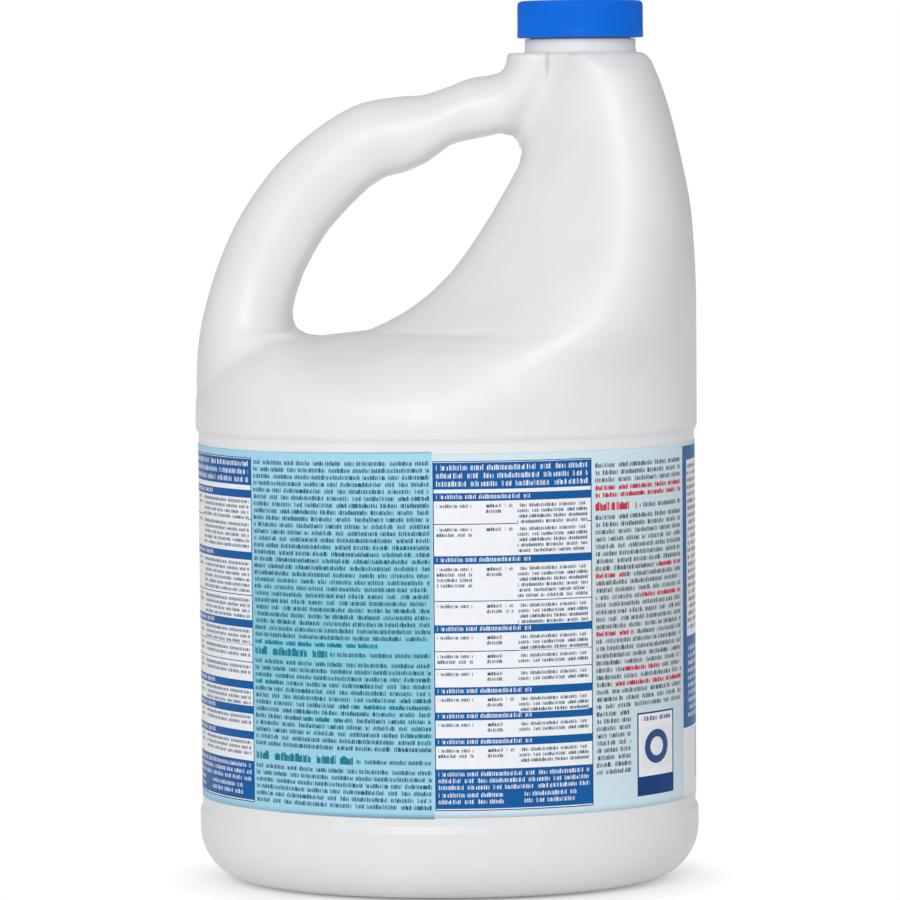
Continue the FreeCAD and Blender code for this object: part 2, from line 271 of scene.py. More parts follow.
def outline_distance(corners, x, z):
    # Signed distance to a polygon of the parting plane
    nearest = np.full(len(x), 1e9)
    inside = np.zeros(len(x), bool)
    for (ax, az), (bx, bz) in zip(corners, corners[1:] + corners[:1]):
        share = ((x - ax) * (bx - ax) + (z - az) * (bz - az)) / ((bx - ax) ** 2 + (bz - az) ** 2)
        share = np.clip(share, 0, 1)
        nearest = np.minimum(nearest, np.hypot(x - ax - share * (bx - ax), z - az - share * (bz - az)))
        crosses = ((az > z) != (bz > z)) & (x < (bx - ax) * (z - az) / (bz - az + 1e-9) + ax)
        inside ^= crosses
    return np.where(inside, -nearest, nearest)


def plane_lattice():
    # All that depends on the place in the parting plane, on a fine lattice: for body and loop the width
    # squared, the distance to the outline and the slopes of the width squared, then the distances to the
    # web's outline, to the grip hole's and to the soft ridge
    xs = np.arange(-HALF_LENGTH - LATTICE_MARGIN, HALF_LENGTH + LATTICE_MARGIN, LATTICE)
    zs = np.arange(SEAM_Z - LATTICE_MARGIN / 2, NECK_BASE + LATTICE_MARGIN, LATTICE)
    x, z = (grid.ravel() for grid in np.meshgrid(xs, zs, indexing="ij"))
    layers = []
    for sections in (BODY_SECTIONS, HANDLE_SECTIONS):
        squared = squared_width(sections, x, z).reshape(len(xs), len(zs))
        rim = outline_distance(outline(sections), x, z).reshape(len(xs), len(zs))
        layers += [squared, rim, *np.gradient(squared, LATTICE)]
    for corners in (WEB, HOLE, RIDGE):
        layers.append(outline_distance(corners, x, z).reshape(len(xs), len(zs)))
    return xs, zs, np.stack(layers)


def plane_fields(x, z):
    # The lattice's layers between its points
    across = np.clip((x - LATTICE_X[0]) / LATTICE, 0, len(LATTICE_X) - 1.001)
    up = np.clip((z - LATTICE_Z[0]) / LATTICE, 0, len(LATTICE_Z) - 1.001)
    i, k = across.astype(int), up.astype(int)
    part_x, part_z = across - i, up - k
    return ((LAYERS[:, i, k] * (1 - part_x) + LAYERS[:, i + 1, k] * part_x) * (1 - part_z)
            + (LAYERS[:, i, k + 1] * (1 - part_x) + LAYERS[:, i + 1, k + 1] * part_x) * part_z)


def skin_distance(fields, x, y, z):
    # Signed distance, roughly, to the outer skin of shoulder, handle and web
    body_distance, body_way = distance(*fields[0:4], y)
    loop_distance, loop_way = distance(*fields[4:8], y)
    from_web, from_hole, from_ridge = fields[8:11]
    # Under the neck the body keeps within the collar's cone
    from_axis = np.hypot(x - NECK_X, y)
    slope = (COLLAR_FOOT_RADIUS - COLLAR_RADIUS) / COLLAR_HEIGHT
    below = np.maximum(NECK_BASE - z, 0)
    cone = (from_axis - COLLAR_RADIUS - slope * below - COLLAR_SPREAD * below**2) / math.hypot(1, slope)
    body_distance = smooth_cut(body_distance, cone, COLLAR_ROUND)
    # Sloped face from the grip hole's edge up to the soft ridge
    past_hole = np.maximum(from_hole, 0)
    to_ridge = np.maximum(-from_ridge, RIDGE_LEAST - 0.75 * past_hole)
    way = (past_hole / (past_hole + to_ridge)) ** FACE_CURVE
    face_rise = np.interp(z, RIDGE_HEIGHTS, RIDGE_HALVES) - FACE_ROOT
    face_distance = (np.abs(y) - FACE_ROOT - face_rise * way) * FACE_SCALE
    body_distance = smooth_cut(body_distance, face_distance, FACE_ROUND)
    # Loop and body flow together where their skins cross, and stay as they are where they run alike
    turn = 1 - sum(a * b for a, b in zip(body_way, loop_way))
    result = smooth_union(body_distance, loop_distance, LOOP_ROUND * np.clip(turn, LEAST_TURN, 1.0))
    result = smooth_union(result, np.maximum(np.abs(y) - WEB_HALF, from_web), WEB_ROUND)
    result = smooth_cut(result, -from_hole, HOLE_ROUND)
    return smooth_cut(result, z - NECK_BASE, NECK_ROUND)


LATTICE_X, LATTICE_Z, LAYERS = plane_lattice()


def surface_net(values, low, cell):
    # Quads through the cells that the zero surface crosses
    inside = values < 0
    count = np.zeros(tuple(n - 1 for n in values.shape))
    total = np.zeros(count.shape + (3,))
    corners = [(i, j, k) for i in (0, 1) for j in (0, 1) for k in (0, 1)]

    def part(array, corner):
        return array[tuple(slice(c, n - 1 + c) for c, n in zip(corner, array.shape))]

    for start in corners:
        for axis in range(3):
            if start[axis]:
                continue
            end = tuple(1 if i == axis else c for i, c in enumerate(start))
            first = part(values, start)
            second = part(values, end)
            crossed = (first < 0) != (second < 0)
            share = np.where(crossed, first / np.where(crossed, first - second, 1.0), 0.0)
            count += crossed
            for i in range(3):
                total[..., i] += crossed * (start[i] + (share if i == axis else 0.0))
    used = count > 0
    number = np.full(count.shape, -1)
    number[used] = np.arange(used.sum())
    points = low + (np.argwhere(used) + total[used] / count[used][:, None]) * cell
    quads = []
    for axis in range(3):
        one, two = [i for i in range(3) if i != axis]
        crossed = np.diff(inside.astype(np.int8), axis=axis)
        for sign in (1, -1):
            edges = np.argwhere(crossed == sign)
            keep = (edges[:, one] > 0) & (edges[:, two] > 0)
            keep &= (edges[:, one] < count.shape[one]) & (edges[:, two] < count.shape[two])
            edges = edges[keep]
            ring = []
            for a, b in ((0, 0), (1, 0), (1, 1), (0, 1)):
                around = edges.copy()
                around[:, one] -= a
                around[:, two] -= b
                ring.append(number[tuple(around.T)])
            if (sign == 1) == (axis != 1):
                ring.reverse()
            quads.append(np.stack(ring, axis=1))
    return points, np.concatenate(quads)


def upper_skin():
    # Points and quads of the body above the seam, with the points along its open lower edge
    low = np.array([-HALF_LENGTH - 2 * CELL, -HALF_DEPTH - 2.5 * CELL, SEAM_Z])
    size = np.array([2 * HALF_LENGTH + 4 * CELL, 2 * HALF_DEPTH + 5 * CELL, NECK_BASE + 2 * CELL - SEAM_Z])
    shape = np.ceil(size / CELL).astype(int) + 1
    xs, ys, zs = (low[i] + CELL * np.arange(shape[i]) for i in range(3))
    plane_x, plane_z = (grid.ravel() for grid in np.meshgrid(xs, zs, indexing="ij"))
    fields = plane_fields(plane_x, plane_z)
    values = np.empty(tuple(shape))
    for row, y in enumerate(ys):
        slab = skin_distance(fields, plane_x, np.full(len(plane_x), y), plane_z)
        values[:, row, :] = slab.reshape(len(xs), len(zs))
    points, quads = surface_net(values, low, CELL)
    for _ in range(PROJECTIONS):
        points = onto_skin(points)
    return points, quads, open_edge(quads)


def open_edge(quads):
    # Points along the skin's one open edge, in order
    edges = np.concatenate([quads[:, [i, (i + 1) % 4]] for i in range(4)])
    count = quads.max() + 1
    single = ~np.isin(edges[:, 0] * count + edges[:, 1], edges[:, 1] * count + edges[:, 0])
    following = dict(edges[single].tolist())
    first = next(iter(following))
    run = [first]
    while following[run[-1]] != first:
        run.append(following[run[-1]])
    return np.array(run)


def onto_skin(points):
    # Points moved square to the skin, onto it
    x, y, z = points.T
    step = 0.2

    def at(px, py, pz):
        return skin_distance(plane_fields(px, pz), px, py, pz)

    here = at(x, y, z)
    slopes = np.stack([at(x + step, y, z) - at(x - step, y, z), at(x, y + step, z) - at(x, y - step, z),
                       at(x, y, z + step) - at(x, y, z - step)], axis=1) / (2 * step)
    steep = np.maximum((slopes**2).sum(1), 0.3)
    move = np.clip(here / steep, -0.5 * CELL, 0.5 * CELL)
    return points - slopes * move[:, None]


def lower_profile():
    # Inset from the body's oval and height, from the middle of the base up to the seam
    levels = [(BASE_MIDDLE_INSET, PUSHUP_HEIGHT), (FOOT_INSET + PUSHUP_SLOPE + 2, PUSHUP_HEIGHT)]
    for share in np.linspace(0, 1, 9):
        levels.append((FOOT_INSET + PUSHUP_SLOPE * (1 - share), PUSHUP_HEIGHT * (1 - ease(share))))
    for share in np.linspace(0, 1, 15):
        angle = share * math.pi / 2
        levels.append((HEEL_RADIUS * (1 - math.sin(angle)), HEEL_RADIUS * (1 - math.cos(angle))))
    levels += [(0.0, PANEL_BOTTOM - 3.0), (0.0, PANEL_BOTTOM - 1.6)]
    for share in np.linspace(0, 1, 9):
        levels.append((PANEL_RECESS * ease(share), PANEL_BOTTOM - CREASE / 2 + 2 * CREASE * share))
    levels += [(PANEL_RECESS, PANEL_BOTTOM + 4), (PANEL_RECESS, PANEL_TOP - 4)]
    for share in np.linspace(0, 1, 9):
        levels.append((PANEL_RECESS * (1 - ease(share)), PANEL_TOP - 1.5 * CREASE + 2 * CREASE * share))
    levels += [(0.0, PANEL_TOP + 1.6), (0.0, PANEL_TOP + 2.6)]
    return levels


def body_mesh():
    # Upper skin, with rings of the body's oval hung from its lower edge down to the base
    points, quads, edge = upper_skin()
    angles = np.arctan2(points[edge, 1] / HALF_DEPTH, points[edge, 0] / HALF_LENGTH)
    if np.sum(np.diff(angles) > 0) < len(angles) / 2:
        edge, angles = edge[::-1], angles[::-1]
    order = np.roll(edge, -np.argmin(angles))
    angles = np.sort(angles)
    points[order] = np.stack([HALF_LENGTH * np.cos(angles), HALF_DEPTH * np.sin(angles),
                              np.full(len(angles), SEAM_Z)], axis=1)
    rings = [order]
    for inset, height in reversed(lower_profile()):
        ring = np.stack([(HALF_LENGTH - inset) * np.cos(angles), (HALF_DEPTH - inset) * np.sin(angles),
                         np.full(len(angles), height)], axis=1)
        rings.append(len(points) + np.arange(len(angles)))
        points = np.concatenate([points, ring])
    faces = [quads]
    for upper, lower in zip(rings, rings[1:]):
        faces.append(np.stack([upper, lower, np.roll(lower, -1), np.roll(upper, -1)], axis=1))
    polygons = [face.tolist() for face in np.concatenate(faces)]
    polygons.append(rings[-1][::-1].tolist())
    return points, polygons


def solid(name, points, polygons, material, body, replaced=()):
    # Smooth mesh object that rides on its body; points in millimetres
    mesh = bpy.data.meshes.new(name)
    mesh.from_pydata((np.asarray(points) * MM).tolist(), [], polygons)
    mesh.validate()
    mesh.shade_smooth()
    piece = bpy.data.objects.new(name, mesh)
    bpy.context.scene.collection.objects.link(piece)
    if material:
        mesh.materials.append(material)
    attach(piece, body)
    if replaced:
        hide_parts(*replaced)
    return piece


def lathe(profile, columns, radial):
    # Closed profile turned about the neck's axis; radial(angles, height, index) adds to the radius
    turns = 2 * math.pi * np.arange(columns) / columns
    points = []
    for index, (radius, height) in enumerate(profile):
        radii = radius + radial(turns, height, index)
        points.append(np.stack([NECK_X + radii * np.cos(turns), radii * np.sin(turns),
                                np.full(columns, float(height))], axis=1))
    polygons = []
    count = len(profile)
    for index in range(count):
        here = index * columns
        there = (index + 1) % count * columns
        for column in range(columns):
            after = (column + 1) % columns
            polygons.append([here + column, here + after, there + after, there + column])
    return np.concatenate(points), polygons


def rounded(corners, radii, steps=5):
    # Profile through corners, each with its own round
    result = []
    count = len(corners)
    for index, (corner, radius) in enumerate(zip(corners, radii)):
        corner = np.array(corner, float)
        before = np.array(corners[index - 1], float) - corner
        after = np.array(corners[(index + 1) % count], float) - corner
        if radius <= 0:
            result.append(tuple(corner))
            continue
        start = corner + before / np.linalg.norm(before) * radius
        end = corner + after / np.linalg.norm(after) * radius
        for step in range(steps + 1):
            share = step / steps
            result.append(tuple((1 - share) ** 2 * start + 2 * share * (1 - share) * corner + share**2 * end))
    return result


def spaced(profile, longest):
    # The same closed profile with its long runs divided
    result = []
    for start, end in zip(profile, profile[1:] + profile[:1]):
        parts = max(1, math.ceil(math.dist(start, end) / longest))
        for step in range(parts):
            share = step / parts
            result.append((start[0] + (end[0] - start[0]) * share, start[1] + (end[1] - start[1]) * share))
    return result


def linear(red, green, blue):
    # Shader colour from the familiar 0-255 numbers
    return tuple(((c / 255 + 0.055) / 1.055) ** 2.4 if c > 10 else c / 255 / 12.92 for c in (red, green, blue)) + (1,)


class Nodes:
    """Short way to write a material's nodes."""

    def __init__(self, name):
        self.material = bpy.data.materials.new(name)
        self.material.use_nodes = True
        self.tree = self.material.node_tree
        self.shader = self.tree.nodes["Principled BSDF"]

    def put(self, socket, value):
        if isinstance(value, bpy.types.NodeSocket):
            self.tree.links.new(value, socket)
        else:
            socket.default_value = value

    def node(self, kind, outlet=0, settings=None, **values):
        node = self.tree.nodes.new("ShaderNode" + kind)
        for key, value in (settings or {}).items():
            setattr(node, key, value)
        for key, value in values.items():
            name = key.replace("_", " ")
            self.put(node.inputs[int(name[2:]) if name.startswith("in") and name[2:].isdigit() else name], value)
        return node.outputs[outlet]

    def maths(self, operation, first, second=0.0, third=0.0):
        return self.node("Math", 0, {"operation": operation}, in0=first, in1=second, in2=third)

    def noise(self, vector, scale, detail=2.0):
        return self.node("TexNoise", 0, None, Vector=vector, Scale=scale, Detail=detail)

    def part(self, vector, axis):
        return self.node("SeparateXYZ", "XYZ".index(axis), None, Vector=vector)

    def mix(self, share, first, second):
        node = self.tree.nodes.new("ShaderNodeMix")
        node.data_type = "RGBA"
        self.put(node.inputs["Factor"], share)
        self.put(node.inputs[6], first)
        self.put(node.inputs[7], second)
        return node.outputs[2]

    def spread(self, value, low, high, new_low, new_high):
        return self.node("MapRange", 0, None, Value=value, From_Min=low, From_Max=high,
                         To_Min=new_low, To_Max=new_high)

    def bump(self, height, strength, reach):
        return self.node("Bump", 0, None, Height=height, Strength=strength, Distance=reach)

    def finish(self, **values):
        for key, value in values.items():
            self.put(self.shader.inputs[key.replace("_", " ")], value)
        return self.material


# Relief of the materials, in metres: mould grain, the parting line's half width, and how far its bump lifts
GRAIN_REACH = 0.0002
PARTING_HALF = 0.0004
PARTING_RISE = 0.06
RELIEF_REACH = 0.0022
RELIEF_STRENGTH = 0.8

# Valley under the neck: where it falls, is deepest and has risen again, then its depth and height
VALLEY_X = (35.6, 37.8, 50.0)
VALLEY_DEPTH = 1.9
VALLEY_LOW = 278.0
VALLEY_HIGH = 291.0


def moulded_plastic(name, light, dark, roughness, grain, parting=False, gloss=0.5):
    # Slightly uneven gloss, fine mould grain and, on the jug, the mould's parting line
    nodes = Nodes(name)
    place = nodes.node("TexCoord", 3)
    cloud = nodes.noise(place, 38.0, 3.0)
    fine = nodes.noise(place, 1400.0, 2.0)
    height = nodes.maths("MULTIPLY_ADD", fine, 0.25, nodes.noise(place, 150.0, 2.0))
    normal = nodes.bump(height, grain, GRAIN_REACH)
    if parting:
        away = nodes.maths("ABSOLUTE", nodes.part(place, "Y"))
        line = nodes.spread(away, 0.0, PARTING_HALF, PARTING_RISE, 0.0)
        # Valley under the neck: steep on the side of the handle's pillar, easy on the shoulder's
        along = nodes.part(place, "X")
        up = nodes.part(place, "Z")
        steps = [nodes.node("MapRange", 0, {"interpolation_type": "SMOOTHSTEP"}, Value=along, From_Min=low * MM,
                            From_Max=high * MM, To_Min=0.0, To_Max=VALLEY_DEPTH)
                 for low, high in zip(VALLEY_X, VALLEY_X[1:])]
        dip = nodes.maths("SUBTRACT", steps[0], steps[1])
        run = nodes.spread(up, VALLEY_LOW * MM, VALLEY_HIGH * MM, 0.0, 1.0)
        run = nodes.maths("MULTIPLY", run, nodes.maths("LESS_THAN", up, (NECK_BASE - 0.2) * MM))
        relief = nodes.maths("SUBTRACT", line, nodes.maths("MULTIPLY", dip, run))
        normal = nodes.node("Bump", 0, None, Height=relief, Strength=RELIEF_STRENGTH, Distance=RELIEF_REACH,
                            Normal=normal)
    return nodes.finish(
        Base_Color=nodes.mix(nodes.spread(cloud, 0.3, 0.7, 0.0, 1.0), light, dark),
        Roughness=nodes.spread(nodes.noise(place, 90.0, 4.0), 0.3, 0.7, roughness - 0.05, roughness + 0.06),
        Normal=normal,
        Specular_IOR_Level=gloss,
        IOR=1.5)


hdpe = moulded_plastic("white_hdpe", linear(238, 238, 238), linear(233, 233, 234), 0.40, 0.10, parting=True)
cap_blue = moulded_plastic("blue_cap_plastic", linear(0, 110, 228), linear(0, 105, 222), 0.5, 0.10, gloss=0.12)

jug_points, jug_faces = body_mesh()
jug = solid("jug_skin", jug_points, jug_faces, hdpe, "jug", ("bottle", "shoulder", "handle"))

# Neck: ledge on the shoulder, ring under the cap and the threaded finish inside it
ring_top = NECK_BASE + NECK_RING_HEIGHT
neck_profile = spaced(rounded(
    [(BORE_RADIUS, NECK_BASE - NECK_ROOT), (NECK_RADIUS - 1, NECK_BASE - NECK_ROOT),
     (NECK_RADIUS + NECK_LEDGE, NECK_BASE - LEDGE_FOOT), (NECK_RADIUS + NECK_LEDGE, NECK_BASE - LEDGE_TOP),
     (NECK_RADIUS, NECK_BASE + 0.3),
     (NECK_RADIUS, ring_top), (FINISH_RADIUS, ring_top), (FINISH_RADIUS, LIP_Z), (BORE_RADIUS, LIP_Z)],
    [0, 0, 0, 0, 0.8, 0.35, 0.3, 0.5, 0.5]), 0.5)


def thread_ridge(turns, rise, half_width):
    # Rounded ridge of two turns that climb from rise 0, as a share of its depth
    lift = rise / THREAD_PITCH - turns / (2 * math.pi)
    nearest = np.clip(np.round(lift), 0, 1)
    return ease(np.clip(1 - np.abs(lift - nearest) * THREAD_PITCH / half_width, 0, 1))


def finish_thread(turns, height, index):
    if abs(neck_profile[index][0] - FINISH_RADIUS) > 0.01:
        return np.zeros(len(turns))
    return THREAD_DEPTH * thread_ridge(turns, height - ring_top - THREAD_START, THREAD_HALF_WIDTH)


neck_points, neck_faces = lathe(neck_profile, NECK_COLUMNS, finish_thread)
neck = solid("neck", neck_points, neck_faces, hdpe, "jug")

# Cap: ribbed wall above a smooth band, with its thread inside
RIBS = 150
COLUMNS_PER_RIB = 6
RIB_DEPTH = 0.2
RIB_FLOOR = 0.35
RIB_RUN_IN = 0.5
RIB_FADE = 1.1
RIB_FADE_INSET = 1.3
CAP_BAND = 2.2
CAP_WALL = 1.7
CAP_TOP = 1.4
CAP_GATE = 0.3
CAP_RINGS = 2.5
CAP_EDGE_ROUND = 1.9
CAP_THREAD_DEPTH = 1.2
CAP_THREAD_START = 1.6
CAP_THREAD_HALF_WIDTH = 1.0
cap_rim = cap_low.z
cap_bore = CAP_RADIUS - RIB_DEPTH - CAP_WALL
cap_profile = spaced(rounded(
    [(CAP_GATE, cap_high.z), (CAP_GATE, cap_high.z - CAP_TOP), (cap_bore, cap_high.z - CAP_TOP),
     (cap_bore, cap_rim), (CAP_RADIUS, cap_rim), (CAP_RADIUS, cap_high.z)],
    [0, 0, 0.3, 0.3, 0.25, CAP_EDGE_ROUND], steps=8), 0.7)
# The flat top and the flat under it need no rings between their ends
cap_profile = [point for point in cap_profile if not CAP_GATE + CAP_RINGS < point[0] < cap_bore - CAP_RINGS]


def cap_relief(turns, height, index):
    # Ribs that start above the band and fade out over the top's round, and the thread in the bore
    radius = cap_profile[index][0]
    if radius > CAP_RADIUS - CAP_EDGE_ROUND - 0.3:
        fade_in = np.clip((height - cap_rim - CAP_BAND) / RIB_RUN_IN, 0, 1)
        fade_out = np.clip((radius - CAP_RADIUS + RIB_FADE_INSET) / RIB_FADE, 0, 1)
        wave = 0.5 - 0.5 * np.cos(turns * RIBS)
        return -RIB_DEPTH * fade_in * fade_out * (RIB_FLOOR + (1 - RIB_FLOOR) * wave)
    if abs(radius - cap_bore) < 0.01:
        return -CAP_THREAD_DEPTH * thread_ridge(turns, height - cap_rim - CAP_THREAD_START,
                                                 CAP_THREAD_HALF_WIDTH)
    return np.zeros(len(turns))


cap_points, cap_faces = lathe(cap_profile, RIBS * COLUMNS_PER_RIB, cap_relief)
cap = solid("cap_shell", cap_points, cap_faces, cap_blue, "screw_cap", ("cap",))

# Seal inside the cap: foamed sheet
foam = Nodes("liner_foam")
foam_place = foam.node("TexCoord", 3)
foam_cells = foam.node("TexVoronoi", 0, None, Vector=foam_place, Scale=1500.0)
foam_material = foam.finish(
    Base_Color=foam.mix(foam_cells, linear(235, 235, 232), linear(214, 214, 210)),
    Roughness=0.7, Normal=foam.bump(foam_cells, 0.3, GRAIN_REACH))
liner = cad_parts["cap_liner"]
liner.data.materials.clear()
liner.data.materials.append(foam_material)

# Wrap label; places along it are arc lengths from the middle of the shown side, rightwards
LABEL_INSET = 0.75
LABEL_THICK = 0.2
LABEL_BOTTOM = 30.5
LABEL_TOP = 154.7
LABEL_COLUMNS = 240
LEAST_STEP = 0.05
# The end of the wrap that lies on top, left of the seam, stands a little taller along this run
SEAM_S = -2.8
OVERLAP_RUN = 60.0
OVERLAP_LOW = -0.4
OVERLAP_RISE = 1.1
ARC_POINTS = 4001


def label_arc():
    # Turn about the label's oval and the arc length there
    turn = np.linspace(-math.pi, math.pi, ARC_POINTS)
    x = (HALF_LENGTH - LABEL_INSET) * np.sin(turn)
    y = -(HALF_DEPTH - LABEL_INSET) * np.cos(turn)
    length = np.concatenate([[0], np.cumsum(np.hypot(np.diff(x), np.diff(y)))])
    return turn, length - length[-1] / 2


ARC_TURN, ARC_LENGTH = label_arc()
HALF_ROUND = ARC_LENGTH[-1]


def label_ring(places, inset):
    turn = np.interp(places, ARC_LENGTH, ARC_TURN)
    return (HALF_LENGTH - inset) * np.sin(turn), -(HALF_DEPTH - inset) * np.cos(turn)


# Colours of the print
CYAN = linear(170, 220, 243)
CYAN_MIDDLE = linear(140, 208, 228)
PALE = linear(216, 238, 248)
PALE_MIDDLE = linear(214, 226, 232)
WHITE = linear(248, 249, 254)
BLUE = linear(0, 92, 164)
DEEP = linear(0, 58, 126)
TEAL = linear(30, 128, 150)
INK = linear(54, 96, 116)
GREY = linear(86, 92, 98)
RED = linear(206, 62, 74)


def printed(name, ground, ink=None, weight=0.5, middle=None):
    # Film print: a plain field, or a field with rows of unreadable strokes
    nodes = Nodes(name)
    place = nodes.node("TexCoord", 3)
    mottle = nodes.noise(place, 260.0, 3.0)
    if middle:
        # The ground's colour deepens towards the middle of the label's height
        up = nodes.part(place, "Z")
        off = nodes.maths("ABSOLUTE", nodes.maths("SUBTRACT", up, (LABEL_BOTTOM + LABEL_TOP) / 2 * MM))
        ground = nodes.mix(nodes.spread(off, 0.008, 0.060, 0.0, 1.0), middle, ground)
    mottled = nodes.spread(mottle, 0.3, 0.7, 0.0, 0.05)
    colour = nodes.mix(mottled, ground, (0.1, 0.2, 0.25, 1))
    if ink:
        print_place = nodes.node("UVMap", 0, {"uv_map": "print"})
        down = nodes.part(print_place, "Y")
        in_row = nodes.maths("FRACT", down)
        # Each row takes another stretch of the same noises: strokes, gaps between words, heights
        row_shift = nodes.maths("MULTIPLY", nodes.maths("FLOOR", down), 17.37)
        run = nodes.maths("ADD", nodes.part(print_place, "X"), row_shift)
        strokes, words, tall = (
            nodes.node("TexNoise", 0, {"noise_dimensions": "1D"}, W=run, Scale=scale, Detail=detail)
            for scale, detail in ((3.6, 1.0), (0.55, 0.0), (1.3, 0.0)))
        top = nodes.spread(tall, 0.3, 0.7, 0.12, 0.34)
        below_top = nodes.maths("GREATER_THAN", in_row, top)
        above_foot = nodes.maths("LESS_THAN", in_row, 0.80)
        stroke = nodes.maths("GREATER_THAN", strokes, 0.60 - 0.26 * weight)
        word = nodes.maths("GREATER_THAN", words, 0.33)
        mask = nodes.maths("MULTIPLY", nodes.maths("MULTIPLY", below_top, above_foot),
                           nodes.maths("MULTIPLY", stroke, word))
        colour = nodes.mix(mask, colour, ink)
    wave = nodes.noise(place, 55.0, 2.0)
    return nodes.finish(
        Base_Color=colour,
        Roughness=nodes.spread(nodes.noise(place, 120.0, 3.0), 0.3, 0.7, 0.36, 0.46),
        Normal=nodes.bump(wave, 0.03, 0.0006),
        Specular_IOR_Level=0.18,
        IOR=1.48)


def ring_sign(name):
    # A plain ring on white, in a box's own 0-1 coordinates
    nodes = Nodes(name)
    print_place = nodes.node("UVMap", 0, {"uv_map": "print"})
    off = nodes.node("VectorMath", 0, {"operation": "SUBTRACT"}, in0=print_place, in1=(0.5, 0.5, 0.0))
    away = nodes.node("VectorMath", 1, {"operation": "LENGTH"}, in0=off)
    outer = nodes.maths("LESS_THAN", away, 0.40)
    inner = nodes.maths("GREATER_THAN", away, 0.22)
    mask = nodes.maths("MULTIPLY", outer, inner)
    place = nodes.node("TexCoord", 3)
    mottle = nodes.noise(place, 260.0, 3.0)
    ground = nodes.mix(mottle, WHITE, linear(226, 231, 235))
    return nodes.finish(Base_Color=nodes.mix(mask, ground, DEEP), Roughness=0.34, IOR=1.48)


PRINTS = {
    "cyan": printed("print_cyan", CYAN, middle=CYAN_MIDDLE),
    "pale": printed("print_pale", PALE, middle=PALE_MIDDLE),
    "white": printed("print_white", WHITE),
    "blue": printed("print_blue", BLUE),
    "deep": printed("print_deep", DEEP),
    "red": printed("print_red", RED),
    "cyan_text": printed("print_cyan_text", CYAN, INK, 0.54, CYAN_MIDDLE),
    "cyan_teal": printed("print_cyan_teal", CYAN, TEAL, 0.9, CYAN_MIDDLE),
    "white_text": printed("print_white_text", WHITE, INK, 0.5),
    "pale_text": printed("print_pale_text", PALE, GREY, 0.5, PALE_MIDDLE),
    "pale_red": printed("print_pale_red", PALE, RED, 0.8, PALE_MIDDLE),
    "blue_text": printed("print_blue_text", BLUE, WHITE, 0.35),
    "ring": ring_sign("print_ring"),
}
PRINT_NAMES = list(PRINTS)

# Strokes along a row for each of its pitches, and the columns and row pitches of the running text
STROKES = 1.9
TABLE_ROW = 1.85
CYAN_ROW = 2.37
CYAN_LEFT = -69.4
CYAN_RIGHT = -3.8
PALE_ROW = 2.5
PALE_LEFT = 54.4
PALE_RIGHT = 95.5

# Fields of the print, later ones over earlier ones: from, to along the label, bottom, top, print, row pitch
FIELDS = [
    (-HALF_ROUND, SEAM_S, 0.0, 200.0, "cyan", 1),
    (SEAM_S, HALF_ROUND, 0.0, 200.0, "pale", 1),
]


def field(start, end, bottom, top, kind, pitch=1.0):
    FIELDS.append((start, end, bottom, top, kind, pitch))


def text_rows(start, end, top, rows, pitch, kind):
    field(start, end, top - rows * pitch, top, kind, pitch)


def table(left, right, shift, columns):
    # White directions table: head, blue bars, ruled rows of small text
    field(left, right, 32.9, 152.2, "deep")
    first, last = left + 0.35, right - 0.35
    field(first, last, 33.25, 151.9, "white")
    field(first, last, 142.6, 151.7, "blue")
    text_rows(left + 1.2, right - 1.5, 151.3, 3, 2.75, "blue_text")
    for bottom in (138.6, 117.2, 93.7, 72.5, 63.9, 55.1):
        field(first, last, bottom + shift, bottom + 2.75 + shift, "blue")
        text_rows(left + 1.2, left + 0.6 * (right - left), bottom + 2.6 + shift, 1, 2.3, "blue_text")
    for height in (130.6, 104.4, 87.3, 81.3):
        field(first, last, height, height + 0.3, "deep")
    field(first, last, 33.6, 47.2, "blue")
    text_rows(left + 1.2, right - 1.5, 46.6, 3, 2.3, "blue_text")
    text_rows(left + 1.2, left + 0.42 * (right - left), 39.4, 2, 2.3, "blue_text")
    text_rows(left + 0.55 * (right - left), right - 6, 39.4, 2, 2.3, "blue_text")
    tops = (137.8, 129.8, 116.3, 103.7, 93.0, 86.6, 80.6, 71.8, 63.2, 54.4)
    for (start, end), counts in columns:
        for top, rows in zip(tops, counts):
            if rows:
                text_rows(start, end, top, rows, TABLE_ROW, "white_text")


table(-2.6, 53.0, 0.0, [
    ((-1.4, 10.5), (1, 2, 4, 1, 1, 2, 1, 1, 1, 2)),
    ((15.4, 20.6), (2, 1, 2, 2, 2, 2, 2, 2, 2, 2)),
    ((21.9, 24.6), (1, 1, 1, 2, 0, 0, 0, 1, 0, 1)),
    ((26.2, 51.3), (4, 5, 6, 4, 3, 2, 2, 3, 2, 3)),
])
table(-127.0, -70.4, -0.4, [
    ((-125.8, -113.0), (1, 2, 4, 1, 1, 2, 1, 1, 1, 2)),
    ((-108.5, -103.5), (2, 1, 2, 2, 2, 2, 2, 2, 2, 2)),
    ((-101.5, -71.8), (4, 5, 6, 4, 3, 2, 2, 3, 2, 3)),
])

